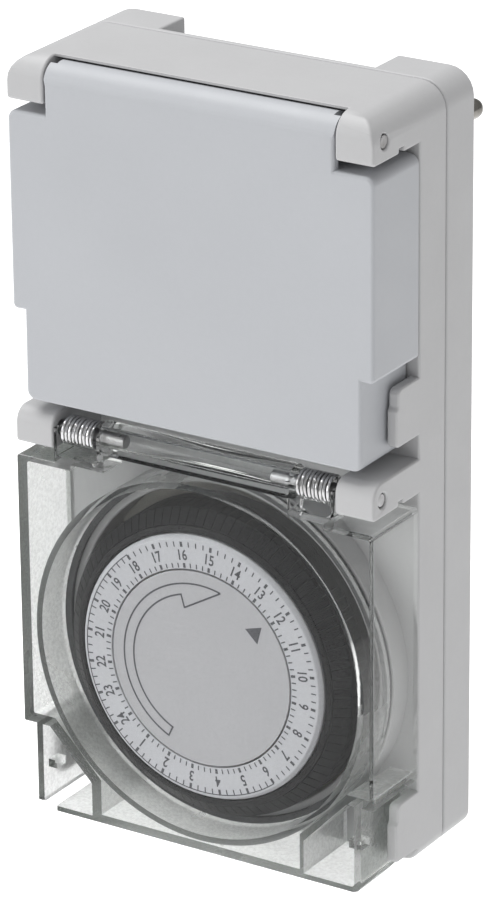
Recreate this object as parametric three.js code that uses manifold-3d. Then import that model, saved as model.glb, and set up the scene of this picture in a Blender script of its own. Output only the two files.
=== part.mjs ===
// Plug-in outdoor time switch with a hinged socket flap and a clear hinged timer cover.
// Units are millimetres. +X is right seen from the front, +Y goes back to the wall, +Z is up.
// The pieces are drawn with y = 0 on the front plane and z = 0 on the timer cover's hinge axis,
// then moved together so that the origin is the centre of the plug's face.
import * as THREE from "three";
import { mergeVertices } from "three/addons/utils/BufferGeometryUtils.js";
import Module from "manifold-3d";

const wasm = await Module();
wasm.setup();

// Overall size and the housing's planes.
const HALF_W = 38;
const TOP_Z = 70.8;
const BOTTOM_Z = -76.2;
const HOUSING_FRONT = 15.8;
const SEAM_Y = 25.1;
const RECESS_Y = 26.6;
const BACK_Y = 34.7;
const RECESS_HALF = 22.4;
const RECESS_FLOOR_Z = 20;
const WALL = 2.2;
const GAP = 0.3;

// Hinges.
const FLAP_AXIS_Y = 4;
const FLAP_AXIS_Z = 66;
const COVER_AXIS_Y = 3.2;
const COVER_AXIS_Z = 0;
const ARM_IN = 30.3;
const ARM_BELOW = 3.2;
const ARM_ABOVE = 3.5;
const HOOD_BELOW = 3.6;
const PIN_R = 1.25;
const PIN_IN_X = 15.6;
const PIN_PLAY = 0.15;
const SPRING_TURNS = 9;
const SPRING_WIRE_R = 0.31;

// Socket flap.
const FLAP_DEPTH = 15.3;
const FLAP_SHOULDER_Z = 60.5;
const FLAP_STEP_Z = 22.7;
const FLAP_LOW_Z = 5.6;
const STEP_IN = 2.55;
const FLAP_WALL = 1.6;

// Timer cover.
const COVER_DEPTH = 15.3;
const COVER_WALL = 1.5;
const COVER_TOP_Z = -5.7;
const COVER_STEP_Z = -59.4;
const COVER_LOW_Z = -76.6;
const TUBE_R = 35.3;
const TUBE_Z = -39.8;
const TUBE_WALL = 1.2;
const TUBE_END_Y = 9.2;
const BARREL_HALF = 20.2;
const BARREL_R = 3.2;
const STRUT_X = 23.2;
const STRUT_TOP_Z = -68.9;
const CUT_X = 32.3;
const SIDE_IN_X = 33.8;
const SIDE_OUT_X = 35.3;
const FLANGE = 1.2;
const OPENING_R = 31.6;
const SEAL_IN_R = 33;
const SEAL_OUT_R = 34.9;
const SEAL_REAR_Y = 10.4;

// Dial.
const DIAL_Z = -40.9;
const DIAL_FACE_Y = 2.6;
const CENTRE_R = 19.1;
const RING_R = 25.9;
const CARRIER_R = 30.2;
const TAPPET_IN_R = 27.6;
const CARRIER_RIM = 1.4;
const CARRIER_FLOOR_Y = 12.4;
const CARRIER_REAR_Y = 14.2;
const TAPPET_REAR_Y = 8.6;
const TAPPET_ROOM_Y = 11.2;
const SEGMENTS = 96;
const TAPPETS = 6;
const TAPPET_FIRST = 10;
const DIAL_TEETH = 80;
const PINION_TEETH = 10;
const WHEEL_TEETH = 40;
const MODULE = 0.6;

// Movement, from front to back.
const HUB_BORE_R = 2.9;
const SPINDLE_R = 2.4;
const SPINDLE_REAR_Y = 22.6;
const GEAR_Y = [17.2, 18.7];
const IDLER_PINION_Y = [17, 18.9];
const PLATE_Y = [19.4, 20.6];
const WHEEL_Y = [21.3, 22.5];
const MOTOR_PINION_Y = [21.2, 22.8];
const MOTOR_Y = [23.4, 31.8];
const MOTOR_R = 10.6;
const MOTOR_EAR_X = 12.8;
const LEVER_R = 28.2;
const LEVER_HALF = 1.1;
const LEVER_FRONT_Y = 14.8;
const LEVER_FOOT_Y = [22.2, 24.6];
const SWITCH_Y = [26.2, 31.8];

// Plug and socket.
const PLUG_Z = 44.8;
const PLUG_FACE_Y = 66.8;
const PLUG_HALF_W = 16.5;
const PLUG_BELOW = 9.6;
const PLUG_ABOVE = 5.6;
const PLUG_NECK_Y = 43;
const EARTH_DROP = 5;
const PIN_SPACING = 19;
const PLUG_PIN_R = 2;
const PLUG_PIN_LEN = 19;
const SOCKET_Z = 38.9;
const WELL_R = 20;
const COLLAR_R = 22.4;
const WELL_FRONT_Y = 4.4;
const WELL_DEPTH = 17.5;

const group = new THREE.Group();
group.name = "time_switch";

// ---- helpers ----

function toSolid(geometry) {
  let g = geometry.index ? geometry.toNonIndexed() : geometry.clone();
  g.deleteAttribute("normal");
  g.deleteAttribute("uv");
  g = mergeVertices(g, 1e-4);
  return new wasm.Manifold(
    new wasm.Mesh({
      numProp: 3,
      vertProperties: new Float32Array(g.attributes.position.array),
      triVerts: new Uint32Array(g.index.array),
    }),
  );
}

function toGeometry(solid) {
  const m = solid.getMesh();
  const g = new THREE.BufferGeometry();
  const position = new Float32Array((m.vertProperties.length / m.numProp) * 3);
  for (let i = 0; i < position.length / 3; i++) {
    for (let k = 0; k < 3; k++) position[i * 3 + k] = m.vertProperties[i * m.numProp + k];
  }
  g.setAttribute("position", new THREE.BufferAttribute(position, 3));
  g.setIndex(new THREE.BufferAttribute(new Uint32Array(m.triVerts), 1));
  return g;
}

function box(x0, x1, y0, y1, z0, z1) {
  const g = new THREE.BoxGeometry(x1 - x0, y1 - y0, z1 - z0);
  g.translate((x0 + x1) / 2, (y0 + y1) / 2, (z0 + z1) / 2);
  return toSolid(g);
}

// A box given for the right-hand side, and its mirror image.
function mirroredBoxes(x0, x1, y0, y1, z0, z1) {
  return box(x0, x1, y0, y1, z0, z1).add(box(-x1, -x0, y0, y1, z0, z1));
}

function cylY(r, y0, y1, x, z, segments = 48) {
  const g = new THREE.CylinderGeometry(r, r, y1 - y0, segments);
  g.translate(x, (y0 + y1) / 2, z);
  return toSolid(g);
}

function cylX(r, x0, x1, y, z, segments = 24) {
  const g = new THREE.CylinderGeometry(r, r, x1 - x0, segments);
  g.rotateZ(Math.PI / 2);
  g.translate((x0 + x1) / 2, y, z);
  return toSolid(g);
}

// A closed profile of [radius, y] points turned about the Y axis through (x, z).
function turnY(points, x, z, segments) {
  const path = points.map(([r, y]) => new THREE.Vector2(r, y));
  let area = 0;
  for (let i = 0; i < path.length; i++) {
    const a = path[i];
    const b = path[(i + 1) % path.length];
    area += a.x * b.y - b.x * a.y;
  }
  if (area < 0) path.reverse();
  if (path.every((p) => p.x > 1e-6)) path.push(path[0].clone());
  const g = new THREE.LatheGeometry(path, segments);
  g.translate(x, 0, z);
  return toSolid(g);
}

// An outline in X and Z, pushed along Y.
function plateY(shape, y0, y1, curveSegments = 6) {
  const g = new THREE.ExtrudeGeometry(shape, {
    depth: y1 - y0,
    bevelEnabled: false,
    curveSegments,
  });
  g.rotateX(Math.PI / 2);
  g.translate(0, y1, 0);
  return toSolid(g);
}

// An outline in Y and Z, pushed along X.
function plateX(shape, x0, x1, curveSegments = 8) {
  const g = new THREE.ExtrudeGeometry(shape, {
    depth: x1 - x0,
    bevelEnabled: false,
    curveSegments,
  });
  const m = new THREE.Matrix4();
  m.makeBasis(new THREE.Vector3(0, 1, 0), new THREE.Vector3(0, 0, 1), new THREE.Vector3(1, 0, 0));
  g.applyMatrix4(m);
  g.translate(x0, 0, 0);
  return toSolid(g);
}

// Corners are [a, b, radius]; the radius rounds that corner.
function outline(corners) {
  const s = new THREE.Shape();
  const n = corners.length;
  for (let i = 0; i < n; i++) {
    const [px, pz] = corners[(i + n - 1) % n];
    const [cx, cz, r = 0] = corners[i];
    const [nx, nz] = corners[(i + 1) % n];
    const inLen = Math.hypot(px - cx, pz - cz);
    const outLen = Math.hypot(nx - cx, nz - cz);
    const ax = cx + ((px - cx) / inLen) * r;
    const az = cz + ((pz - cz) / inLen) * r;
    const bx = cx + ((nx - cx) / outLen) * r;
    const bz = cz + ((nz - cz) / outLen) * r;
    if (i === 0) s.moveTo(ax, az);
    else s.lineTo(ax, az);
    if (r > 0) s.bezierCurveTo(
      ax + (cx - ax) * 0.552,
      az + (cz - az) * 0.552,
      bx + (cx - bx) * 0.552,
      bz + (cz - bz) * 0.552,
      bx,
      bz,
    );
  }
  s.closePath();
  return s;
}

function housingOutline(inset) {
  const top = Math.max(5 - inset, 0.6);
  const low = Math.max(3 - inset, 0.6);
  return outline([
    [-HALF_W + inset, BOTTOM_Z + inset, low],
    [HALF_W - inset, BOTTOM_Z + inset, low],
    [HALF_W - inset, TOP_Z - inset, top],
    [-HALF_W + inset, TOP_Z - inset, top],
  ]);
}

const colours = {
  shell: 0xc4c6ca,
  clear: 0xdfe3df,
  steel: 0xb8bcc2,
  brass: 0xc9a24b,
  black: 0x303236,
  white: 0xe6e7ea,
  rubber: 0x55585c,
  motor: 0x9a9da3,
  nylon: 0xe8e2cf,
};

function addPiece(name, solid, colour) {
  const material = new THREE.MeshStandardMaterial({ color: colours[colour] });
  if (colour === "clear") {
    material.transparent = true;
    material.opacity = 0.35;
  }
  const mesh = new THREE.Mesh(toGeometry(solid), material);
  mesh.name = name;
  mesh.geometry.translate(0, -PLUG_FACE_Y, -PLUG_Z);
  group.add(mesh);
  return mesh;
}

// ---- housing ----

// Side view of a hinge arm: rounded over the pin at the top, nearly square at the bottom.
function armSide(low, top, roundTop) {
  return outline([
    [0, low, 0.8],
    [HOUSING_FRONT + 1, low],
    [HOUSING_FRONT + 1, top],
    [0, top, roundTop],
  ]);
}

function makeFrontHousing() {
  let shell = plateY(housingOutline(0), HOUSING_FRONT, SEAM_Y - GAP / 2);
  shell = shell.subtract(plateY(housingOutline(WALL), HOUSING_FRONT + WALL, SEAM_Y + 1));

  // Hood over the socket flap, with the two top hinge arms.
  const hoodLow = FLAP_AXIS_Z - HOOD_BELOW;
  const hoodSide = armSide(hoodLow, TOP_Z, 4.2);
  let hood = plateX(hoodSide, -HALF_W, HALF_W).intersect(
    plateY(housingOutline(0), -1, HOUSING_FRONT + 0.5),
  );
  const knuckleRoom = cylX(4.4, -ARM_IN, ARM_IN, FLAP_AXIS_Y, FLAP_AXIS_Z, 40);
  hood = hood.subtract(
    box(-ARM_IN, ARM_IN, -1, FLAP_AXIS_Y + 0.4, hoodLow - 1, TOP_Z + 1),
  );
  hood = hood.subtract(knuckleRoom);
  hood = hood.subtract(
    box(-ARM_IN, ARM_IN, FLAP_AXIS_Y, HOUSING_FRONT, hoodLow - 1, TOP_Z - 2),
  );
  shell = shell.add(hood);

  // Hinge arms of the timer cover at mid height.
  const midSide = armSide(COVER_AXIS_Z - ARM_BELOW, COVER_AXIS_Z + ARM_ABOVE, 3);
  shell = shell.add(plateX(midSide, ARM_IN - GAP, HALF_W));
  shell = shell.add(plateX(midSide, -HALF_W, -ARM_IN + GAP));

  // Notch behind the foot of each arm.
  for (const low of [hoodLow, COVER_AXIS_Z - ARM_BELOW]) {
    shell = shell.subtract(mirroredBoxes(ARM_IN - 2, HALF_W + 1, 8.8, 10.4, low - 1, low + 0.9));
  }

  // Grip lugs beside the narrow lower parts of flap and cover.
  const lugs = [
    [8, 19],
    [-73.2, -61.7],
  ];
  for (const [low, top] of lugs) {
    const side = outline([
      [HOUSING_FRONT + 0.5, low],
      [HOUSING_FRONT + 0.5, top],
      [8.6, top, 1.2],
      [8.6, top - 3.4, 0.3],
      [8, top - 4, 0.3],
      [8, low, 1],
    ]);
    const lug = plateX(side, HALF_W - STEP_IN + 0.45, HALF_W, 4);
    shell = shell.add(lug);
    shell = shell.add(plateX(side, -HALF_W, -HALF_W + STEP_IN - 0.45, 4));
  }

  // Raised collar round the dial, and the two round openings.
  const collar = cylY(TUBE_R - 0.1, 10.7, HOUSING_FRONT + 0.5, 0, TUBE_Z, 72);
  shell = shell.add(collar);
  shell = shell.subtract(cylY(OPENING_R, 5, HOUSING_FRONT + 4, 0, TUBE_Z, 72));
  shell = shell.subtract(cylY(COLLAR_R + GAP, 5, HOUSING_FRONT + 4, 0, SOCKET_Z, 60));

  // Bores for the hinge pins.
  for (const side of [-1, 1]) {
    const inner = side > 0 ? ARM_IN - 2 : -HALF_W - 1;
    const outer = side > 0 ? HALF_W + 1 : -ARM_IN + 2;
    shell = shell.subtract(cylX(PIN_R + PIN_PLAY, inner, outer, FLAP_AXIS_Y, FLAP_AXIS_Z, 20));
    shell = shell.subtract(cylX(PIN_R + PIN_PLAY, inner, outer, COVER_AXIS_Y, COVER_AXIS_Z, 20));
  }
  return shell;
}

const screwSpots = [
  [-31, 62],
  [31, 62],
  [-31, -69],
  [31, -69],
];

function makeRearHousing() {
  const y0 = SEAM_Y + GAP / 2;
  let shell = plateY(housingOutline(0), y0, BACK_Y);
  let hollow = plateY(housingOutline(WALL), y0 - 1, BACK_Y - WALL);
  // Bay at the top between the two rear rails, where the plug stands.
  const bayWall = box(
    -RECESS_HALF - 1.8,
    RECESS_HALF + 1.8,
    y0 - 2,
    BACK_Y + 1,
    RECESS_FLOOR_Z - 1.8,
    TOP_Z + 1,
  );
  const bay = box(
    -RECESS_HALF,
    RECESS_HALF,
    RECESS_Y,
    BACK_Y + 1,
    RECESS_FLOOR_Z,
    TOP_Z + 1,
  );
  hollow = hollow.subtract(bayWall);
  shell = shell.subtract(hollow).subtract(bay);
  shell = shell.subtract(cylY(15.6, y0 - 2, RECESS_Y + 1, 0, PLUG_Z, 48));
  // Way through for the earth clips and contacts of the socket, which lie a little lower.
  shell = shell.subtract(box(-13, 13, y0 - 2, RECESS_Y + 1, 28, PLUG_Z));
  for (const [x, z] of screwSpots) {
    shell = shell.add(cylY(4.4, y0 + 0.2, BACK_Y - 0.5, x, z, 20));
    shell = shell.subtract(cylY(1.9, y0 - 2, BACK_Y + 1, x, z, 16));
    shell = shell.subtract(cylY(3.3, BACK_Y - 3.6, BACK_Y + 1, x, z, 24));
  }
  return shell;
}

function makeScrew(x, z) {
  const head = cylY(3, BACK_Y - 3.3, BACK_Y - 1.2, x, z, 20);
  const shank = cylY(1.6, SEAM_Y - 5, BACK_Y - 3, x, z, 14);
  const slotA = box(x - 1.7, x + 1.7, BACK_Y - 2.2, BACK_Y, z - 0.35, z + 0.35);
  const slotB = box(x - 0.35, x + 0.35, BACK_Y - 2.2, BACK_Y, z - 1.7, z + 1.7);
  return head.add(shank).subtract(slotA).subtract(slotB);
}

function makeHousingSeal() {
  const outer = plateY(housingOutline(WALL + GAP), SEAM_Y - 1.9, SEAM_Y - 0.3, 4);
  return outer.subtract(plateY(housingOutline(WALL + 1.6), SEAM_Y - 3, SEAM_Y + 1, 4));
}

// ---- socket ----

function makeSocketInsert() {
  const floorY = WELL_FRONT_Y + WELL_DEPTH;
  let s = cylY(COLLAR_R, WELL_FRONT_Y, floorY + 2, 0, SOCKET_Z, 60);
  s = s.add(cylY(COLLAR_R + 1.9, HOUSING_FRONT + WALL + GAP, HOUSING_FRONT + 4, 0, SOCKET_Z, 60));
  s = s.subtract(cylY(WELL_R, WELL_FRONT_Y - 1, floorY, 0, SOCKET_Z, 60));
  // Guide ribs at both sides of the well.
  for (const side of [-1, 1]) {
    const x0 = side > 0 ? WELL_R - 2 : -WELL_R - 0.5;
    s = s.add(box(x0, x0 + 2.5, WELL_FRONT_Y + 2.5, floorY + 0.5, SOCKET_Z - 2.3, SOCKET_Z + 2.3));
    s = s.subtract(cylY(2.9, floorY - 1, floorY + 3, (side * PIN_SPACING) / 2, SOCKET_Z, 20));
    // Slots for the earth clips.
    const zc = SOCKET_Z + side * (WELL_R - 0.2);
    s = s.subtract(box(-2.6, 2.6, WELL_FRONT_Y + 3, floorY + 3, zc - 1.4, zc + 1.4));
  }
  return s;
}

function makeEarthClip(side) {
  const floorY = WELL_FRONT_Y + WELL_DEPTH;
  const z = SOCKET_Z + side * (WELL_R - 0.2);
  const inward = -side;
  const a = [WELL_FRONT_Y + 3.4, z + side * 0.4];
  const mid = [WELL_FRONT_Y + 8, z + inward * 2.2];
  const b = [floorY + 2.6, z + side * 0.4];
  const shape = outline([
    a,
    mid,
    b,
    [b[0], b[1] + side * 0.6],
    [mid[0], mid[1] + side * 0.7],
    [a[0], a[1] + side * 0.6],
  ]);
  return plateX(shape, -2.1, 2.1);
}

function makeContact(side) {
  const x = (side * PIN_SPACING) / 2;
  let s = cylY(3.3, RECESS_Y + 0.8, RISER_Y - 1, x, SOCKET_Z, 20);
  s = s.subtract(cylY(2.45, RECESS_Y - 1, RECESS_Y + 18, x, SOCKET_Z, 20));
  s = s.subtract(box(x - 0.5, x + 0.5, RECESS_Y - 1, RECESS_Y + 13, SOCKET_Z - 4, SOCKET_Z));
  return s;
}

function makeShutter() {
  const y0 = WELL_FRONT_Y + WELL_DEPTH + 2.3;
  let s = cylY(13.4, y0, y0 + 1, 0, SOCKET_Z, 40);
  for (const side of [-1, 1]) {
    const turn = 0.55;
    const r = PIN_SPACING / 2;
    const x = side * r * Math.cos(turn);
    const z = SOCKET_Z + side * r * Math.sin(turn);
    s = s.subtract(cylY(2.9, y0 - 1, y0 + 2, x, z, 18));
  }
  return s;
}

// ---- plug ----

// A plate across the depth with rounded corners, reaching below and above the plug's axis.
function plugPlate(halfW, below, above, radius, y0, y1) {
  const shape = outline([
    [-halfW, PLUG_Z - below, radius],
    [halfW, PLUG_Z - below, radius],
    [halfW, PLUG_Z + above, radius],
    [-halfW, PLUG_Z + above, radius],
  ]);
  return plateY(shape, y0, y1);
}

// The outer pins stand on the plug's axis and the earth pin a little below it.
const pinSpots = [
  [-PIN_SPACING / 2, PLUG_Z],
  [PIN_SPACING / 2, PLUG_Z],
  [0, PLUG_Z - EARTH_DROP],
];

function makePlugBody() {
  const y0 = RECESS_Y + GAP;
  const flangeW = 20.4;
  const flangeH = 17.5;
  const shoulderH = 12.2;
  const neckBelow = 10.6;
  const neckAbove = 9;
  const wall = 1.6;
  const faceWall = 4;
  const shoulderW = PLUG_HALF_W + 0.6;
  let s = plugPlate(flangeW, flangeH, flangeH, 4, y0, y0 + 2.4);
  s = s.add(plugPlate(shoulderW, shoulderH, shoulderH, 4, y0 + 1, PLUG_NECK_Y));
  // Flat grip that tapers from the neck to the face.
  const taper = outline([
    [PLUG_NECK_Y - 1, PLUG_Z - neckBelow],
    [PLUG_FACE_Y, PLUG_Z - PLUG_BELOW, 0.8],
    [PLUG_FACE_Y, PLUG_Z + PLUG_ABOVE, 0.8],
    [PLUG_NECK_Y - 1, PLUG_Z + neckAbove],
  ]);
  const round = plugPlate(PLUG_HALF_W, neckBelow, neckAbove, 5, y0, PLUG_FACE_Y + 1);
  s = s.add(plateX(taper, -PLUG_HALF_W, PLUG_HALF_W).intersect(round));
  const hollowH = shoulderH - wall;
  const hollowY = PLUG_NECK_Y - wall + 0.8;
  s = s.subtract(plugPlate(PLUG_HALF_W - 1, hollowH, hollowH, 2.4, y0 - 1, hollowY));
  const gripHollow = [PLUG_BELOW - wall, PLUG_ABOVE - wall];
  s = s.subtract(
    plugPlate(PLUG_HALF_W - wall, ...gripHollow, 2.4, y0 - 1, PLUG_FACE_Y - faceWall),
  );
  for (const [x, z] of pinSpots) {
    const bore = PLUG_PIN_R + GAP;
    s = s.subtract(cylY(bore, PLUG_FACE_Y - faceWall - 2, PLUG_FACE_Y + 1, x, z, 24));
  }
  return s;
}

function makePlugPin([x, z]) {
  const tip = PLUG_FACE_Y + PLUG_PIN_LEN;
  const r = PLUG_PIN_R;
  return turnY(
    [
      [0, PLUG_FACE_Y - 8],
      [r, PLUG_FACE_Y - 8],
      [r, tip - 2],
      [r * 0.94, tip - 1.3],
      [r * 0.76, tip - 0.6],
      [r * 0.45, tip - 0.15],
      [0, tip],
    ],
    x,
    z,
    28,
  );
}

// ---- socket flap ----

function flapOutline(inset) {
  const top = FLAP_SHOULDER_Z - inset;
  const wide = HALF_W - inset;
  const low = FLAP_STEP_Z + inset;
  const narrow = HALF_W - STEP_IN - inset;
  const base = FLAP_LOW_Z + inset;
  const r = Math.max(1.8 - inset, 0.3);
  return outline([
    [-narrow, base, r],
    [narrow, base, r],
    [narrow, low],
    [wide, low, 1],
    [wide, top, r],
    [-wide, top, r],
    [-wide, low, 1],
    [-narrow, low],
  ]);
}

function makeSocketFlap() {
  const knuckleHalf = ARM_IN - GAP;
  let s = plateY(flapOutline(0), 0, FLAP_DEPTH);
  s = s.subtract(plateY(flapOutline(FLAP_WALL), FLAP_WALL, FLAP_DEPTH + 1));
  // Middle part that rises between the arms and rolls over the hinge axis.
  const rise = box(-knuckleHalf, knuckleHalf, 0, FLAP_WALL, FLAP_SHOULDER_Z - 2, FLAP_AXIS_Z);
  const knuckle = cylX(4, -knuckleHalf, knuckleHalf, FLAP_AXIS_Y, FLAP_AXIS_Z, 40);
  s = s.add(rise).add(knuckle);
  s = s.subtract(
    box(-COLLAR_R - 3, COLLAR_R + 3, FLAP_WALL, FLAP_DEPTH + 1, FLAP_SHOULDER_Z - 3, FLAP_SHOULDER_Z + 1.2),
  );
  // Spring pockets and pin bores.
  for (const side of [-1, 1]) {
    const a = side > 0 ? 18.2 : -28.2;
    s = s.subtract(cylX(3.15, a, a + 10, FLAP_AXIS_Y, FLAP_AXIS_Z, 28));
    s = s.subtract(box(a, a + 10, FLAP_AXIS_Y, FLAP_AXIS_Y + 5, FLAP_AXIS_Z - 5, FLAP_AXIS_Z));
    const bore = side > 0 ? [15, 31] : [-31, -15];
    s = s.subtract(cylX(PIN_R + 0.2, bore[0], bore[1], FLAP_AXIS_Y, FLAP_AXIS_Z, 20));
    const notch = side > 0 ? [28.6, 31] : [-31, -28.6];
    s = s.subtract(
      box(notch[0], notch[1], FLAP_AXIS_Y - 1.4, FLAP_AXIS_Y + 5, FLAP_AXIS_Z + 2, FLAP_AXIS_Z + 5),
    );
  }
  return s;
}

function makeFlapSeal() {
  const y0 = 13.2;
  const y1 = HOUSING_FRONT - GAP;
  const outer = 33.4;
  const s = box(-outer, outer, y0, y1, FLAP_LOW_Z + 2, FLAP_LOW_Z + 4);
  return s.add(mirroredBoxes(outer - 1.8, outer, y0, y1, FLAP_LOW_Z + 2, 58.4));
}

// ---- timer cover ----

function coverOutline(inset) {
  const wide = HALF_W - inset;
  const strut = STRUT_X - inset;
  return outline([
    [-strut, COVER_LOW_Z + inset * 0.8],
    [strut, COVER_LOW_Z + inset * 0.8],
    [strut, STRUT_TOP_Z + inset * 0.4],
    [CUT_X - inset * 0.4, COVER_STEP_Z + inset],
    [wide, COVER_STEP_Z + inset, 0.3],
    [wide, COVER_TOP_Z - inset, 0.5],
    [-wide, COVER_TOP_Z - inset, 0.5],
    [-wide, COVER_STEP_Z + inset, 0.3],
    [-CUT_X + inset * 0.4, COVER_STEP_Z + inset],
    [-strut, STRUT_TOP_Z + inset * 0.4],
  ]);
}

function makeTimerCover() {
  let s = plateY(coverOutline(0), 0, COVER_DEPTH);
  s = s.subtract(plateY(coverOutline(COVER_WALL), COVER_WALL, COVER_DEPTH + 1));
  // Top wall stays only at the two shoulders.
  s = s.subtract(box(-27, 27, COVER_WALL, COVER_DEPTH + 1, COVER_TOP_Z - 4, COVER_TOP_Z + 1));
  // Sealing tube round the dial.
  const tube = cylY(TUBE_R, 0.4, TUBE_END_Y, 0, TUBE_Z, 96);
  const bore = cylY(TUBE_R - TUBE_WALL, COVER_WALL, TUBE_END_Y + 1, 0, TUBE_Z, 96);
  const bottomTrim = box(-40, 40, -1, 20, COVER_LOW_Z - 3, COVER_LOW_Z + 0.6);
  s = s.add(tube.subtract(bore).subtract(bottomTrim));
  // Front plate up to the barrel, and the hinge barrel.
  s = s.add(box(-BARREL_HALF, BARREL_HALF, 0, COVER_WALL, COVER_TOP_Z - 1, COVER_AXIS_Z - 1.6));
  s = s.add(cylX(BARREL_R, -BARREL_HALF, BARREL_HALF, COVER_AXIS_Y, COVER_AXIS_Z, 32));
  s = s.subtract(cylX(PIN_R + 0.25, -31, 31, COVER_AXIS_Y, COVER_AXIS_Z, 20));
  // Spring pockets.
  for (const side of [-1, 1]) {
    const p = side > 0 ? [19.6, 29.8] : [-29.8, -19.6];
    const q = side > 0 ? [20.5, 29.1] : [-29.1, -20.5];
    let pocket = box(p[0], p[1], 0, 7.4, COVER_TOP_Z - 0.4, COVER_AXIS_Z + 1);
    pocket = pocket.subtract(box(q[0], q[1], -1, 6.6, COVER_AXIS_Z - 4.2, COVER_AXIS_Z + 2));
    pocket = pocket.subtract(
      cylX(PIN_R + 0.25, side > 0 ? 19 : -31, side > 0 ? 31 : -19, COVER_AXIS_Y, COVER_AXIS_Z, 20),
    );
    s = s.add(pocket);
    s = s.subtract(box(q[0], q[1], -1, 6.6, COVER_AXIS_Z - 4.2, COVER_AXIS_Z + 4));
    // Narrow side wall below the step, standing free beside the cut-away corner.
    const w = side > 0 ? [SIDE_IN_X, SIDE_OUT_X] : [-SIDE_OUT_X, -SIDE_IN_X];
    s = s.add(box(w[0], w[1], 0, COVER_DEPTH, -75.2, COVER_STEP_Z + 1));
    const nub = side > 0 ? [31.9, 34] : [-34, -31.9];
    s = s.add(box(nub[0], nub[1], 1.6, 4.4, -68.6, -67));
  }
  // Bottom flange; on the right it turns up into the side wall.
  s = s.add(box(-31.2, 32, 0, COVER_DEPTH, COVER_LOW_Z, COVER_LOW_Z + FLANGE));
  const corner = outline([
    [31.5, COVER_LOW_Z],
    [SIDE_OUT_X, COVER_LOW_Z, 1.8],
    [SIDE_OUT_X, COVER_LOW_Z + 2],
    [SIDE_IN_X, COVER_LOW_Z + 2],
    [SIDE_IN_X, COVER_LOW_Z + FLANGE, 0.6],
    [31.5, COVER_LOW_Z + FLANGE],
  ]);
  s = s.add(plateY(corner, 0, COVER_DEPTH, 5));
  return s;
}

// ---- hinge pins and torsion springs ----

function makeHingePin(side, y, z, inner) {
  const a = side > 0 ? inner : -HALF_W + GAP;
  const b = side > 0 ? HALF_W - GAP : -inner;
  return cylX(PIN_R, a, b, y, z, 16);
}

class CoilPath extends THREE.Curve {
  constructor(options) {
    super();
    Object.assign(this, options);
  }
  getPoint(t, target = new THREE.Vector3()) {
    const legShare = 0.1;
    const first = this.startAngle;
    const last = this.startAngle + this.turns * Math.PI * 2;
    const along = (u) => this.x0 + (this.x1 - this.x0) * u;
    const put = (x, angle) =>
      target.set(
        x,
        this.y + this.radius * Math.cos(angle),
        this.z + this.radius * Math.sin(angle),
      );
    if (t < legShare) {
      put(this.x0, first);
      const reach = (1 - t / legShare) * this.leg;
      target.y += Math.sin(first) * reach;
      target.z -= Math.cos(first) * reach;
      return target;
    }
    if (t > 1 - legShare) {
      put(this.x1, last);
      const reach = ((t - 1 + legShare) / legShare) * this.leg;
      target.y -= Math.sin(last) * reach;
      target.z += Math.cos(last) * reach;
      return target;
    }
    const u = (t - legShare) / (1 - 2 * legShare);
    return put(along(u), first + (last - first) * u);
  }
}

function makeSpring(side, y, z, radius, inner, outer, turns, leg) {
  const path = new CoilPath({
    x0: side * inner,
    x1: side * outer,
    y,
    z,
    radius,
    turns,
    leg,
    startAngle: side > 0 ? -Math.PI / 2 : Math.PI / 2,
  });
  const ring = new THREE.Shape();
  const wire = SPRING_WIRE_R;
  for (let i = 0; i < 4; i++) {
    const a = (i / 4) * Math.PI * 2;
    if (i === 0) ring.moveTo(wire * Math.cos(a), wire * Math.sin(a));
    else ring.lineTo(wire * Math.cos(a), wire * Math.sin(a));
  }
  ring.closePath();
  const g = new THREE.ExtrudeGeometry(ring, {
    steps: Math.round(turns * 10) + 6,
    bevelEnabled: false,
    extrudePath: path,
  });
  return toSolid(g);
}

// ---- dial and movement ----

function makeDialCentre() {
  let s = cylY(CENTRE_R, DIAL_FACE_Y, DIAL_FACE_Y + 1.4, 0, DIAL_Z, 64);
  s = s.add(cylY(3.4, DIAL_FACE_Y + 1, DIAL_FACE_Y + 2.3, 0, DIAL_Z, 24));
  return s;
}

function makeNumberRing() {
  const y = DIAL_FACE_Y;
  return turnY(
    [
      [CENTRE_R + GAP, y],
      [RING_R - 0.7, y],
      [RING_R, y + 0.8],
      [RING_R, y + 2.4],
      [CENTRE_R + GAP, y + 2.4],
    ],
    0,
    DIAL_Z,
    72,
  );
}

function carrierProfile() {
  return [
    [RING_R + GAP, DIAL_FACE_Y + 0.9],
    [TAPPET_IN_R, DIAL_FACE_Y + 1.2],
    [CARRIER_R - 0.3, DIAL_FACE_Y + 3.2],
    [CARRIER_R, DIAL_FACE_Y + 3.6],
    [CARRIER_R, CARRIER_REAR_Y],
    [CARRIER_R - CARRIER_RIM, CARRIER_REAR_Y],
    [CARRIER_R - CARRIER_RIM, CARRIER_FLOOR_Y],
    [RING_R + GAP, CARRIER_FLOOR_Y],
  ];
}

// A wedge of the dial between two angles, given in turns of one segment.
function wedge(first, last, r0, r1, y0, y1) {
  const s = new THREE.Shape();
  const at = (r, i) => {
    const a = (i / SEGMENTS) * Math.PI * 2;
    return [r * Math.cos(a), DIAL_Z + r * Math.sin(a)];
  };
  s.moveTo(...at(r0, first));
  s.lineTo(...at(r1, first));
  if (last - first > 1) {
    for (let i = Math.ceil(first + 0.01); i < last; i++) s.lineTo(...at(r1, i));
  }
  s.lineTo(...at(r1, last));
  s.lineTo(...at(r0, last));
  if (last - first > 1) {
    for (let i = Math.floor(last - 0.01); i > first; i--) s.lineTo(...at(r0, i));
  }
  s.closePath();
  return plateY(s, y0, y1);
}

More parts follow.
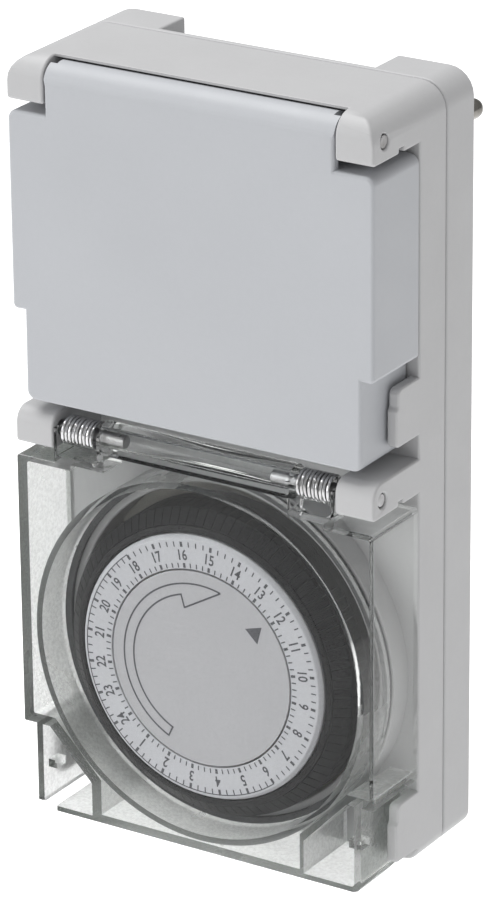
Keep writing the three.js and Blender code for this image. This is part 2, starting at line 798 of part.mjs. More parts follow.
function makeCarrier() {
  const ring = turnY(carrierProfile(), 0, DIAL_Z, SEGMENTS);
  const slot = wedge(
    TAPPET_FIRST,
    TAPPET_FIRST + TAPPETS,
    TAPPET_IN_R,
    CARRIER_R + 2,
    0,
    TAPPET_ROOM_Y,
  );
  return ring.subtract(slot);
}

function makeTappet(index) {
  const first = TAPPET_FIRST + index + 0.1;
  const ring = turnY(carrierProfile(), 0, DIAL_Z, SEGMENTS);
  const room = wedge(first, first + 0.8, TAPPET_IN_R + GAP, CARRIER_R + 2, 0, TAPPET_REAR_Y);
  return ring.intersect(room);
}

function makeDialHub() {
  let s = cylY(RING_R - 0.4, DIAL_FACE_Y + 2.7, DIAL_FACE_Y + 4.4, 0, DIAL_Z, 60);
  s = s.add(cylY(5.2, DIAL_FACE_Y + 3, 16.9, 0, DIAL_Z, 32));
  return s.subtract(cylY(HUB_BORE_R, 0, 30, 0, DIAL_Z, 24));
}

function gearShape(teeth, x, z, phase) {
  const pitchR = (teeth * MODULE) / 2;
  const tip = pitchR + 0.8 * MODULE;
  const root = pitchR - 1.1 * MODULE;
  const step = (Math.PI * 2) / teeth;
  const s = new THREE.Shape();
  const put = (r, a, first) => {
    const px = x + r * Math.cos(a);
    const pz = z + r * Math.sin(a);
    if (first) s.moveTo(px, pz);
    else s.lineTo(px, pz);
  };
  for (let i = 0; i < teeth; i++) {
    const a = phase + i * step;
    put(root, a - step * 0.31, i === 0);
    put(tip, a - step * 0.12, false);
    put(tip, a + step * 0.12, false);
    put(root, a + step * 0.31, false);
  }
  s.closePath();
  return s;
}

const DIAL_PITCH = (DIAL_TEETH * MODULE) / 2;
const PINION_PITCH = (PINION_TEETH * MODULE) / 2;
const WHEEL_PITCH = (WHEEL_TEETH * MODULE) / 2;
const IDLER_ANGLE = -Math.PI / 4;
const IDLER_X = (DIAL_PITCH + PINION_PITCH) * Math.cos(IDLER_ANGLE);
const IDLER_Z = DIAL_Z + (DIAL_PITCH + PINION_PITCH) * Math.sin(IDLER_ANGLE);
const MOTOR_X = IDLER_X;
const MOTOR_Z = IDLER_Z + WHEEL_PITCH + PINION_PITCH;

function makeDialGear() {
  const s = plateY(gearShape(DIAL_TEETH, 0, DIAL_Z, 0), ...GEAR_Y);
  return s.subtract(cylY(HUB_BORE_R, 10, 25, 0, DIAL_Z, 24));
}

function makeIdler() {
  const halfTooth = Math.PI / PINION_TEETH;
  const pinionPhase = IDLER_ANGLE + Math.PI + halfTooth;
  let s = plateY(gearShape(PINION_TEETH, IDLER_X, IDLER_Z, pinionPhase), ...IDLER_PINION_Y);
  s = s.add(cylY(1.3, 15.6, 24.2, IDLER_X, IDLER_Z, 16));
  s = s.add(plateY(gearShape(WHEEL_TEETH, IDLER_X, IDLER_Z, Math.PI / 2), ...WHEEL_Y));
  return s;
}

function makeMotorPinion() {
  const halfTooth = Math.PI / PINION_TEETH;
  const phase = -Math.PI / 2 + halfTooth;
  let s = plateY(gearShape(PINION_TEETH, MOTOR_X, MOTOR_Z, phase), ...MOTOR_PINION_Y);
  s = s.add(cylY(0.9, 20.9, 24.6, MOTOR_X, MOTOR_Z, 14));
  return s;
}

function makeMotor() {
  const [front, rear] = MOTOR_Y;
  const [earL, earR] = [MOTOR_X - MOTOR_EAR_X, MOTOR_X + MOTOR_EAR_X];
  let s = cylY(MOTOR_R, front, rear, MOTOR_X, MOTOR_Z, 40);
  s = s.add(box(earL, earR, front, front + 1.2, MOTOR_Z - 3, MOTOR_Z + 3));
  return s.subtract(cylY(1.3, 20, 26, MOTOR_X, MOTOR_Z, 14));
}

function makeMovementPlate() {
  const plate = outline([
    [-27.5, -64, 3],
    [31, -64, 3],
    [31, -8, 3],
    [-27.5, -8, 3],
  ]);
  let s = plateY(plate, ...PLATE_Y);
  s = s.subtract(cylY(2.7, 10, 25, 0, DIAL_Z, 24));
  s = s.subtract(cylY(1.6, 10, 25, IDLER_X, IDLER_Z, 16));
  s = s.subtract(cylY(1.3, 10, 25, MOTOR_X, MOTOR_Z, 14));
  s = s.subtract(box(-24, -17.5, 10, 25, -66, -56));
  for (const side of [-1, 1]) {
    s = s.add(cylY(1.5, 20, 23.1, MOTOR_X + side * 11.2, MOTOR_Z, 14));
  }
  return s;
}

function makeSpindle() {
  const y0 = DIAL_FACE_Y + 2.6;
  const s = cylY(SPINDLE_R, y0, SPINDLE_REAR_Y, 0, DIAL_Z, 24);
  return s.add(cylY(4, SPINDLE_REAR_Y - 1.6, SPINDLE_REAR_Y, 0, DIAL_Z, 24));
}

const LEVER_X = -LEVER_R * Math.cos(Math.PI / 4);
const LEVER_Z = DIAL_Z - LEVER_R * Math.sin(Math.PI / 4);

function makeSwitchLever() {
  const [step, foot] = LEVER_FOOT_Y;
  const side = outline([
    [LEVER_FRONT_Y, LEVER_Z - 1.2, 0.4],
    [step, LEVER_Z - 1.2],
    [step, LEVER_Z - 2.4],
    [foot, LEVER_Z - 2.4, 0.6],
    [foot, LEVER_Z + 2.4, 0.6],
    [step, LEVER_Z + 2.4],
    [step, LEVER_Z + 1.2],
    [LEVER_FRONT_Y, LEVER_Z + 1.2, 0.4],
  ]);
  return plateX(side, LEVER_X - LEVER_HALF, LEVER_X + LEVER_HALF);
}

function makeMicroswitch() {
  const s = box(LEVER_X - 5, LEVER_X + 5, ...SWITCH_Y, LEVER_Z - 8, LEVER_Z + 8);
  return s.subtract(box(LEVER_X - 1, LEVER_X + 1, 26, 28.1, LEVER_Z - 2.1, LEVER_Z + 2.1));
}

function makePlunger() {
  return box(LEVER_X - 0.7, LEVER_X + 0.7, 24.9, 27.6, LEVER_Z - 1.2, LEVER_Z + 1.2);
}

// ---- conductors ----

function bar(points, width) {
  let s = null;
  for (let i = 0; i + 1 < points.length; i++) {
    const [a, b] = [points[i], points[i + 1]];
    const lo = a.map((v, k) => Math.min(v, b[k]) - width[k] / 2);
    const hi = a.map((v, k) => Math.max(v, b[k]) + width[k] / 2);
    const piece = box(lo[0], hi[0], lo[1], hi[1], lo[2], hi[2]);
    s = s ? s.add(piece) : piece;
  }
  return s;
}

const PIN_X = PIN_SPACING / 2;
const BAR_Y = PLUG_FACE_Y - 8.7;
const RISER_Y = PLUG_NECK_Y - 2;
const NEUTRAL_WAY = [
  [PIN_X, RISER_Y, SOCKET_Z],
  [PIN_X, RISER_Y, PLUG_Z],
  [PIN_X, BAR_Y, PLUG_Z],
];
const LIVE_X = -4;
const LIVE_Z = PLUG_Z - 8;
const LIVE_WAY = [
  [LIVE_X, RECESS_Y + 2, LIVE_Z],
  [LIVE_X, RISER_Y, LIVE_Z],
  [LIVE_X, RISER_Y, PLUG_Z],
  [LIVE_X, BAR_Y, PLUG_Z],
  [-PIN_X + 1.5, BAR_Y, PLUG_Z],
];
const EARTH_Z = PLUG_Z + 8.5;
const EARTH_WAY = [
  [0, RECESS_Y + 2, EARTH_Z],
  [0, RISER_Y, EARTH_Z],
  [0, RISER_Y, PLUG_Z - EARTH_DROP],
  [0, BAR_Y, PLUG_Z - EARTH_DROP],
];

// ---- assembly ----

addPiece("front_housing", makeFrontHousing(), "shell");
addPiece("rear_housing", makeRearHousing(), "shell");
addPiece("housing_seal", makeHousingSeal(), "rubber");
screwSpots.forEach(([x, z], i) => addPiece("housing_screw_" + (i + 1), makeScrew(x, z), "steel"));

addPiece("socket_insert", makeSocketInsert(), "shell");
addPiece("safety_shutter", makeShutter(), "shell");
addPiece("socket_contact_live", makeContact(-1), "brass");
addPiece("socket_contact_neutral", makeContact(1), "brass");
addPiece("earth_clip_top", makeEarthClip(1), "steel");
addPiece("earth_clip_bottom", makeEarthClip(-1), "steel");

addPiece("plug_body", makePlugBody(), "shell");
["live", "neutral", "earth"].forEach((name, i) => {
  addPiece("plug_pin_" + name, makePlugPin(pinSpots[i]), "steel");
});

addPiece("busbar_neutral", bar(NEUTRAL_WAY, [2.4, 0.8, 2.4]), "brass");
addPiece("busbar_live", bar(LIVE_WAY, [1.2, 0.8, 2.4]), "brass");
addPiece("busbar_earth", bar(EARTH_WAY, [2.4, 0.8, 0.8]), "brass");

addPiece("socket_flap", makeSocketFlap(), "shell");
addPiece("flap_seal", makeFlapSeal(), "rubber");
addPiece("timer_cover", makeTimerCover(), "clear");
[
  [-1, "left"],
  [1, "right"],
].forEach(([side, word]) => {
  addPiece("flap_pin_" + word, makeHingePin(side, FLAP_AXIS_Y, FLAP_AXIS_Z, PIN_IN_X), "steel");
  addPiece("cover_pin_" + word, makeHingePin(side, COVER_AXIS_Y, COVER_AXIS_Z, PIN_IN_X), "steel");
  addPiece(
    "flap_spring_" + word,
    makeSpring(side, FLAP_AXIS_Y, FLAP_AXIS_Z, 2.45, 19.2, 27.2, SPRING_TURNS, 0.8),
    "steel",
  );
  addPiece(
    "cover_spring_" + word,
    makeSpring(side, COVER_AXIS_Y, COVER_AXIS_Z, 2.6, 21, 28.6, SPRING_TURNS, 0.9),
    "steel",
  );
});

addPiece(
  "dial_seal",
  turnY(
    [
      [SEAL_IN_R, TUBE_END_Y + GAP],
      [SEAL_OUT_R, TUBE_END_Y + GAP],
      [SEAL_OUT_R, SEAL_REAR_Y],
      [SEAL_IN_R, SEAL_REAR_Y],
    ],
    0,
    TUBE_Z,
    72,
  ),
  "rubber",
);
addPiece("dial_centre", makeDialCentre(), "white");
addPiece("number_ring", makeNumberRing(), "white");
addPiece("tappet_carrier", makeCarrier(), "black");
for (let i = 0; i < TAPPETS; i++) addPiece("tappet_" + (i + 1), makeTappet(i), "black");
addPiece("dial_hub", makeDialHub(), "nylon");
addPiece("dial_gear", makeDialGear(), "nylon");
addPiece("dial_spindle", makeSpindle(), "steel");
addPiece("idler_gear", makeIdler(), "nylon");
addPiece("motor_pinion", makeMotorPinion(), "brass");
addPiece("motor", makeMotor(), "motor");
addPiece("movement_plate", makeMovementPlate(), "nylon");
addPiece("switch_lever", makeSwitchLever(), "nylon");
addPiece("switch_plunger", makePlunger(), "nylon");
addPiece("microswitch", makeMicroswitch(), "black");

export default group;
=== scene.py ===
import math

import bmesh
import bpy
from mathutils import Matrix, Vector


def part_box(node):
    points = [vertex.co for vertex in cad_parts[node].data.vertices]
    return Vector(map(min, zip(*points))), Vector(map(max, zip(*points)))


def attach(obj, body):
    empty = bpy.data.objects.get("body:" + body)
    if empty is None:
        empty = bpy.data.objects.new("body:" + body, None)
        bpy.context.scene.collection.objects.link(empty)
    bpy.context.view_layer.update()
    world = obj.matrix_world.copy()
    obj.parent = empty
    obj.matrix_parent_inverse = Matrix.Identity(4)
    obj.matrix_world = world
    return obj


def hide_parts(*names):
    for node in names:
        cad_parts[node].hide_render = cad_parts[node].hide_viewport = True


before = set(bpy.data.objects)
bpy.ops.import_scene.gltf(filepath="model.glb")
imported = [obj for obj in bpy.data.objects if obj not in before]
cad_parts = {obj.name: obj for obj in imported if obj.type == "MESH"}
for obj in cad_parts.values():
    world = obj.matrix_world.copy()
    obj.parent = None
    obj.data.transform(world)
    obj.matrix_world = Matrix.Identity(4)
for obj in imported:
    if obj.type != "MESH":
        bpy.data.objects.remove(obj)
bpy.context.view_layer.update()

MM = 0.001
# The maker's drawing counts depth from the front face and height from the cover's hinge.
# These two are its offset from the frame.
DRAWING_Y = 66.8
DRAWING_Z = 44.8
SMOOTH_BELOW = math.radians(38)
ROUND_ABOVE = math.radians(40)
FLAT_WITHIN = math.radians(0.8)

scene = bpy.context.scene


def mm(x, y, z):
    """A point of the drawing, in millimetres, as a point of the frame."""
    return Vector((x, y - DRAWING_Y, z - DRAWING_Z)) * MM


# ---------------------------------------------------------------- camera

CAMERA_AT = Vector((453.664, -761.850, 292.894)) * MM
CAMERA_TO = Vector((-9.805, -33.699, -55.144)) * MM
CAMERA_ROLL = math.radians(-0.6035)
CAMERA_LENS = 200.6
CAMERA_SHIFT = (0.0012, -0.0016)


def make_camera():
    data = bpy.data.cameras.new("view_camera")
    data.lens = CAMERA_LENS
    data.shift_x, data.shift_y = CAMERA_SHIFT
    data.sensor_width = 36
    data.clip_start = 0.05
    data.clip_end = 20
    forward = (CAMERA_TO - CAMERA_AT).normalized()
    level = forward.cross(Vector((0, 0, 1))).normalized()
    right = level * math.cos(CAMERA_ROLL) + level.cross(forward) * math.sin(CAMERA_ROLL)
    up = right.cross(forward)
    turn = Matrix((right, up, -forward)).transposed().to_4x4()
    camera = bpy.data.objects.new("view_camera", data)
    camera.matrix_world = Matrix.Translation(CAMERA_AT) @ turn
    scene.collection.objects.link(camera)
    scene.camera = camera


make_camera()

# ---------------------------------------------------------------- node groups and materials


def new_group(name, inputs, outputs):
    """A shader node group with named float or colour sockets."""
    group = bpy.data.node_groups.new(name, "ShaderNodeTree")
    for label, value in inputs.items():
        kind = "NodeSocketColor" if isinstance(value, tuple) else "NodeSocketFloat"
        socket = group.interface.new_socket(label, in_out="INPUT", socket_type=kind)
        socket.default_value = value
    for label, kind in outputs.items():
        group.interface.new_socket(label, in_out="OUTPUT", socket_type=kind)
    group.nodes.new("NodeGroupInput")
    group.nodes.new("NodeGroupOutput")
    return group


def ends(group):
    return group.nodes["Group Input"].outputs, group.nodes["Group Output"].inputs


def add(tree, kind, values=None, **settings):
    """One node with its settings and the values of its unlinked sockets."""
    node = tree.nodes.new(kind)
    for key, value in settings.items():
        setattr(node, key, value)
    for key, value in (values or {}).items():
        node.inputs[key].default_value = value
    return node


def link(tree, source, target):
    tree.links.new(source, target)


def noise(tree, where, scale, detail=2.0, rough=0.5):
    node = add(tree, "ShaderNodeTexNoise", {"Detail": detail, "Roughness": rough})
    link(tree, where, node.inputs["Vector"])
    if isinstance(scale, (int, float)):
        node.inputs["Scale"].default_value = scale
    else:
        link(tree, scale, node.inputs["Scale"])
    return node.outputs["Fac"]


def spread(tree, value, low, high, to_low=0.0, to_high=1.0):
    """Maps a value from one range to another, clamped."""
    node = add(tree, "ShaderNodeMapRange", {"From Min": low, "From Max": high})
    for key, number in (("To Min", to_low), ("To Max", to_high)):
        if isinstance(number, (int, float)):
            node.inputs[key].default_value = number
        else:
            link(tree, number, node.inputs[key])
    link(tree, value, node.inputs["Value"])
    return node.outputs["Result"]


def blend_colour(tree, factor, first, second):
    """Mixes two colours by a factor; each may be a value or a socket."""
    node = add(tree, "ShaderNodeMix", data_type="RGBA")
    # In a colour mix the factor is socket 0 and the two colours are sockets 6 and 7.
    for index, value in ((0, factor), (6, first), (7, second)):
        socket = node.inputs[index]
        if isinstance(value, (int, float, tuple)):
            socket.default_value = value
        else:
            link(tree, value, socket)
    return node.outputs[2]


def math_node(tree, operation, first, second=0.0):
    node = add(tree, "ShaderNodeMath", operation=operation)
    for socket, value in zip(node.inputs, (first, second)):
        if isinstance(value, (int, float)):
            socket.default_value = value
        else:
            link(tree, value, socket)
    return node.outputs[0]


def object_place(tree, scale=(1, 1, 1), turn=(0, 0, 0)):
    where = add(tree, "ShaderNodeTexCoord").outputs["Object"]
    if scale == (1, 1, 1) and turn == (0, 0, 0):
        return where
    mapping = add(tree, "ShaderNodeMapping", {"Scale": scale, "Rotation": turn})
    link(tree, where, mapping.inputs["Vector"])
    return mapping.outputs["Vector"]


def moulded_skin_group():
    """Cloudy tint, uneven sheen and the fine spark texture of an injection mould."""
    group = new_group(
        "moulded_skin",
        {
            "Tint": (0.5, 0.5, 0.5, 1),
            "Shade": (0.45, 0.45, 0.45, 1),
            "Sheen Low": 0.4,
            "Sheen High": 0.5,
            "Grain Scale": 2600.0,
        },
        {"Color": "NodeSocketColor", "Roughness": "NodeSocketFloat", "Height": "NodeSocketFloat"},
    )
    start, end = ends(group)
    where = object_place(group)
    cloud = spread(group, noise(group, where, 38.0, 3.0), 0.3, 0.7)
    speck = spread(group, noise(group, where, 900.0, 2.0), 0.25, 0.75)
    cloud_part = math_node(group, "MULTIPLY", cloud, 0.65)
    speck_part = math_node(group, "MULTIPLY", speck, 0.35)
    mixed = math_node(group, "ADD", cloud_part, speck_part)
    link(group, blend_colour(group, mixed, start["Shade"], start["Tint"]), end["Color"])
    smear = noise(group, where, 120.0, 4.0, 0.6)
    rough = spread(group, smear, 0.3, 0.7, start["Sheen Low"], start["Sheen High"])
    link(group, rough, end["Roughness"])
    link(group, noise(group, where, start["Grain Scale"], 3.0, 0.6), end["Height"])
    return group


def hairline_group():
    """Sparse fine scratches in two directions, as a mask."""
    group = new_group("hairline_scratches", {"Density": 0.5}, {"Mask": "NodeSocketFloat"})
    start, end = ends(group)
    lines = None
    for turn in (0.5, -0.9):
        where = object_place(group, (60, 900, 900), (0, turn, 0.2))
        fine = noise(group, where, 1.0, 2.0)
        near = math_node(group, "ABSOLUTE", math_node(group, "SUBTRACT", fine, 0.5))
        line = spread(group, near, 0.0, 0.012, 1.0, 0.0)
        lines = line if lines is None else math_node(group, "MAXIMUM", lines, line)
    patch = spread(group, noise(group, object_place(group), 70.0, 2.0), 0.48, 0.62)
    mask = math_node(group, "MULTIPLY", math_node(group, "MULTIPLY", lines, patch), start["Density"])
    link(group, mask, end["Mask"])
    return group


def drawn_metal_group():
    """Fine drawing lines along one axis with slight tarnish."""
    group = new_group(
        "drawn_metal",
        {
            "Tint": (0.6, 0.6, 0.6, 1),
            "Tarnish": (0.4, 0.4, 0.4, 1),
            "Sheen Low": 0.2,
            "Sheen High": 0.35,
        },
        {"Color": "NodeSocketColor", "Roughness": "NodeSocketFloat", "Height": "NodeSocketFloat"},
    )
    start, end = ends(group)
    along = noise(group, object_place(group, (2600, 160, 2600)), 1.0, 3.0, 0.6)
    stain = spread(group, noise(group, object_place(group), 260.0, 4.0, 0.6), 0.35, 0.75)
    link(group, blend_colour(group, stain, start["Tint"], start["Tarnish"]), end["Color"])
    rough = spread(group, along, 0.3, 0.7, start["Sheen Low"], start["Sheen High"])
    link(group, rough, end["Roughness"])
    link(group, along, end["Height"])
    return group


SKIN = moulded_skin_group()
HAIRLINES = hairline_group()
DRAWN = drawn_metal_group()


def rgb(red, green, blue):
    """A display colour, 0 to 255, as a linear colour."""
    linear = []
    for part in (red, green, blue):
        part /= 255
        linear.append(part / 12.92 if part <= 0.04045 else ((part + 0.055) / 1.055) ** 2.4)
    return (*linear, 1.0)


def start_material(name, **sockets):
    """A new material with values on its shader's own sockets."""
    material = bpy.data.materials.new(name)
    material.use_nodes = True
    tree = material.node_tree
    shader = tree.nodes["Principled BSDF"]
    for key, value in sockets.items():
        shader.inputs[key.replace("_", " ")].default_value = value
    return material, tree, shader


def use_group(tree, group, **values):
    node = tree.nodes.new("ShaderNodeGroup")
    node.node_tree = group
    for key, value in values.items():
        node.inputs[key.replace("_", " ")].default_value = value
    return node


def add_bump(tree, shader, height, distance):
    bump = add(tree, "ShaderNodeBump", {"Strength": 1.0, "Distance": distance})
    link(tree, height, bump.inputs["Height"])
    link(tree, bump.outputs["Normal"], shader.inputs["Normal"])


def plastic(name, tint, shade, low, high, grain=2600.0, depth=0.00002, scratches=0.0, **sockets):
    material, tree, shader = start_material(name, **sockets)
    skin = use_group(tree, SKIN, Tint=tint, Shade=shade, Sheen_Low=low, Sheen_High=high, Grain_Scale=grain)
    colour, rough = skin.outputs["Color"], skin.outputs["Roughness"]
    if scratches:
        marks = use_group(tree, HAIRLINES, Density=scratches).outputs["Mask"]
        pale = tuple(min(1.0, part * 1.5 + 0.03) for part in tint[:3]) + (1.0,)
        colour = blend_colour(tree, marks, colour, pale)
        rough = math_node(tree, "ADD", rough, math_node(tree, "MULTIPLY", marks, 0.15))
    link(tree, colour, shader.inputs["Base Color"])
    link(tree, rough, shader.inputs["Roughness"])
    add_bump(tree, shader, skin.outputs["Height"], depth)
    return material


def metal(name, tint, tarnish, low, high, depth=0.000006):
    material, tree, shader = start_material(name, Metallic=1.0)
    skin = use_group(tree, DRAWN, Tint=tint, Tarnish=tarnish, Sheen_Low=low, Sheen_High=high)
    link(tree, skin.outputs["Color"], shader.inputs["Base Color"])
    link(tree, skin.outputs["Roughness"], shader.inputs["Roughness"])
    add_bump(tree, shader, skin.outputs["Height"], depth)
    return material


CLEAR_IOR = 1.24
CLEAR_DENSITY = 12.0
CLEAR_BODY = (0.76, 0.79, 0.765, 1)
CLEAR_SHADOW = (0.93, 0.94, 0.93, 1)


def clear_plastic(name, tint, low, high, grain, depth, clarity=1.0, mottle=0.96):
    """Clear plastic with a slight body colour. Its shadow is only a faint tint."""
    material, tree, shader = start_material(name, Transmission_Weight=clarity, IOR=CLEAR_IOR)
    marks = use_group(tree, HAIRLINES, Density=0.5).outputs["Mask"]
    where = object_place(tree)
    cloud = spread(tree, noise(tree, where, 90.0, 3.0), 0.35, 0.7, low, high)
    rough = math_node(tree, "ADD", cloud, math_node(tree, "MULTIPLY", marks, 0.12))
    link(tree, rough, shader.inputs["Roughness"])
    haze = spread(tree, noise(tree, where, 1500.0, 2.0, 0.7), 0.36, 0.64)
    paler = tuple(part * mottle for part in tint[:3]) + (1.0,)
    link(tree, blend_colour(tree, haze, paler, tint), shader.inputs["Base Color"])
    add_bump(tree, shader, noise(tree, where, grain, 3.0, 0.6), depth)
    see_through = add(tree, "ShaderNodeBsdfTransparent", {"Color": CLEAR_SHADOW})
    chooser = add(tree, "ShaderNodeMixShader")
    link(tree, add(tree, "ShaderNodeLightPath").outputs["Is Shadow Ray"], chooser.inputs[0])
    link(tree, shader.outputs[0], chooser.inputs[1])
    link(tree, see_through.outputs[0], chooser.inputs[2])
    output = tree.nodes["Material Output"]
    link(tree, chooser.outputs[0], output.inputs["Surface"])
    inside = add(tree, "ShaderNodeVolumeAbsorption", {"Color": CLEAR_BODY, "Density": CLEAR_DENSITY})
    link(tree, inside.outputs[0], output.inputs["Volume"])
    return material


finish = {
    "housing": plastic("housing_grey", rgb(188, 188, 189), rgb(183, 183, 184), 0.42, 0.52),
    "flap": plastic("flap_grey", rgb(182, 184, 188), rgb(178, 180, 184), 0.4, 0.5),
    "socket": plastic("socket_grey", rgb(150, 153, 157), rgb(142, 145, 150), 0.4, 0.5),
    "plug": plastic("plug_grey", rgb(172, 175, 178), rgb(166, 168, 171), 0.42, 0.52),
    "rubber": plastic("seal_rubber", rgb(70, 71, 73), rgb(60, 61, 63), 0.6, 0.75, 1400.0, 0.00004),
    "centre": plastic(
        "dial_centre_grey", rgb(176, 175, 179), rgb(172, 171, 175), 0.4, 0.48, 3200.0, 0.000003, 0.12
    ),
    "ring": plastic(
        "number_ring_white", rgb(191, 191, 196), rgb(186, 186, 191), 0.36, 0.44, 3200.0, 0.000003
    ),
    "black": plastic(
        "tappet_black",
        rgb(17, 17, 20),
        rgb(13, 13, 16),
        0.38,
        0.46,
        2600.0,
        0.0000002,
        0.1,
        Specular_IOR_Level=0.15,
    ),
    "ink": plastic("print_ink", rgb(74, 74, 80), rgb(64, 64, 70), 0.5, 0.6, 5000.0, 0.000004),
    "nylon": plastic("movement_nylon", rgb(226, 224, 214), rgb(214, 212, 200), 0.4, 0.5),
    "switch_case": plastic("switch_case_black", rgb(38, 38, 40), rgb(30, 30, 32), 0.4, 0.5),
    "nickel": metal("pin_nickel", rgb(150, 147, 141), rgb(96, 93, 89), 0.14, 0.24),
    "steel": metal("hinge_steel", rgb(176, 176, 178), rgb(120, 118, 116), 0.26, 0.4),
    "spring": metal("spring_steel", rgb(226, 226, 228), rgb(176, 175, 174), 0.16, 0.28),
    "screw": metal("screw_steel", rgb(196, 194, 188), rgb(150, 146, 136), 0.24, 0.36),
    "brass": metal("contact_brass", rgb(212, 178, 110), rgb(160, 128, 76), 0.24, 0.38),
    "strip": metal("earth_strip_steel", rgb(188, 188, 186), rgb(140, 138, 134), 0.22, 0.34),
    "can": metal("motor_can", rgb(170, 170, 172), rgb(126, 126, 126), 0.3, 0.44),
    "clear": clear_plastic("clear_cover", (0.965, 0.97, 0.965, 1), 0.04, 0.09, 220.0, 0.000003),
    "speckled": clear_plastic(
        "clear_speckled", (0.95, 0.955, 0.95, 1), 0.25, 0.4, 1500.0, 0.00008, clarity=0.82, mottle=0.72
    ),
}

# ---------------------------------------------------------------- shapes


def to_object(bm, name, materials, body, nodes=()):
    """Turns a finished bmesh into a smooth-shaded piece that rides on a body."""
    for face in bm.faces:
        face.smooth = True
    for edge in bm.edges:
        edge.smooth = len(edge.link_faces) == 2 and edge.calc_face_angle(0) < SMOOTH_BELOW
    mesh = bpy.data.meshes.new(name)
    bm.to_mesh(mesh)
    bm.free()
    for material in materials:
        mesh.materials.append(finish[material])
    piece = bpy.data.objects.new(name, mesh)
    scene.collection.objects.link(piece)
    weighted = piece.modifiers.new("face_normals", "WEIGHTED_NORMAL")
    weighted.keep_sharp = True
    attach(piece, body)
    if nodes:
        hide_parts(*nodes)
    return piece


def merged_copy(node):
    """A node's mesh with its loose triangles merged and its flat faces joined."""
    bm = bmesh.new()
    bm.from_mesh(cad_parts[node].data)
    bmesh.ops.remove_doubles(bm, verts=bm.verts, dist=2e-6)
    bmesh.ops.dissolve_degenerate(bm, edges=bm.edges, dist=1e-6)
    bmesh.ops.dissolve_limit(bm, angle_limit=FLAT_WITHIN, verts=bm.verts, edges=bm.edges)
    return bm


def round_edges(bm, width, segments, wanted=None):
    """Rounds the sharp outward edges whose middle passes the test, or all of them."""
    chosen = []
    for edge in bm.edges:
        if not edge.is_manifold or not edge.is_convex:
            continue
        if edge.calc_face_angle(0) < ROUND_ABOVE:
            continue
        middle = (edge.verts[0].co + edge.verts[1].co) / (2 * MM)
        x, y, z = middle.x, middle.y + DRAWING_Y, middle.z + DRAWING_Z
        if wanted is None or wanted(x, y, z):
            chosen.append(edge)
    bmesh.ops.bevel(
        bm,
        geom=chosen,
        offset=width * MM,
        offset_type="OFFSET",
        affect="EDGES",
        segments=segments,
        profile=0.5,
        material=-1,
        clamp_overlap=False,
        miter_outer="SHARP",
    )


def soft_copy(node, material, body, width=0.0, segments=2, wanted=None):
    """Stands for a node with the same shape, its edges rounded where a width is given."""
    bm = merged_copy(node)
    if width:
        round_edges(bm, width, segments, wanted)
    return to_object(bm, node + "_finished", [material], body, [node])


# ---- housing, flap, plug and dial faces


def at_front(x, y, z):
    """Whether a place of the drawing lies on the front plane."""
    return y < 0.1


for half in ("front", "rear"):
    soft_copy(f"{half}_housing", "housing", "housing", 0.45, 3)
soft_copy("socket_flap", "flap", "flap", 0.7, 4, at_front)

for number in (1, 2, 3, 4):
    soft_copy(f"housing_screw_{number}", "screw", "housing")
for side in ("left", "right"):
    soft_copy(f"flap_pin_{side}", "steel", "housing", 0.2)
    soft_copy(f"cover_pin_{side}", "steel", "housing", 0.2)
soft_copy("plug_body", "plug", "housing", 0.4, 3)
soft_copy("socket_insert", "socket", "housing", 0.25, 2)
soft_copy("number_ring", "ring", "dial", 0.2, 2)
soft_copy("dial_centre", "centre", "housing", 0.15, 2)
for pole in ("live", "neutral", "earth"):
    soft_copy(f"plug_pin_{pole}", "nickel", "housing")

# ---- timer cover

# The walls that face down and to the left have a speckled finish. Places are of the drawing, in mm.
LOW_WALLS_Z = -42
LOW_WALLS_X = 34
LEFT_WALL_X = -33
TUBE_LEFT_X = -4
TUBE_TOP_Z = -6


def is_speckled(face):
    """Whether a face of the cover is one of its speckled walls."""
    if abs(face.normal.y) >= 0.5:
        return False
    x, z = face.center.x, face.center.z
    low_wall = z < mm(0, 0, LOW_WALLS_Z).z and x < LOW_WALLS_X * MM
    left_wall = x < LEFT_WALL_X * MM
    tube_left = x < TUBE_LEFT_X * MM and z < mm(0, 0, TUBE_TOP_Z).z
    return low_wall or left_wall or tube_left


def make_cover():
    bm = merged_copy("timer_cover")
    round_edges(bm, 0.25, 2, at_front)
    materials = ["clear", "speckled"]
    piece = to_object(bm, "timer_cover_finished", materials, "cover", ["timer_cover"])
    for face in piece.data.polygons:
        face.material_index = int(is_speckled(face))


make_cover()

# ---- dial

RING_LOW, RING_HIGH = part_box("number_ring")
DIAL_CENTRE = (RING_LOW + RING_HIGH) / 2
FACE_Y = RING_LOW.y
CARRIER_LOW, CARRIER_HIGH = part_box("tappet_carrier")
CARRIER_R = (CARRIER_HIGH.x - CARRIER_LOW.x) / 2 / MM
RING_R = (RING_HIGH.x - RING_LOW.x) / 2 / MM
HOURS = 24
SEGMENTS = 96
PITCH = math.tau / SEGMENTS
SIXTEEN_AT = math.radians(99.1)
LOOSE_TAPPETS = 6
FIRST_LOOSE = 10

# The sheet is drawn for a ring of this radius and printed to the size of the real one.
SHEET_RING_R = 26.2
PRINT_SCALE = RING_R / SHEET_RING_R
INK_DEPTH = 0.02
INK_SUNK = 0.004
OUTER_TICKS = (23.95, 24.95)
INNER_TICKS = (19.85, 20.8)
HOUR_TICK = 0.52
QUARTER_TICK = 0.24
DIGITS_R = 22.4
DIGITS_HIGH = 2.1
DIGITS_NARROW = 0.8
DIGITS_BOLD = 0.018


def hour_angle(hour):
    return SIXTEEN_AT + math.tau * (hour - 16) / HOURS


def on_dial(radius, angle, depth):
    """A point of the dial, from its radius, angle and depth behind the number ring's face."""
    across, up = radius * math.cos(angle) * MM, radius * math.sin(angle) * MM
    return Vector((DIAL_CENTRE.x + across, FACE_Y + depth * MM, DIAL_CENTRE.z + up))


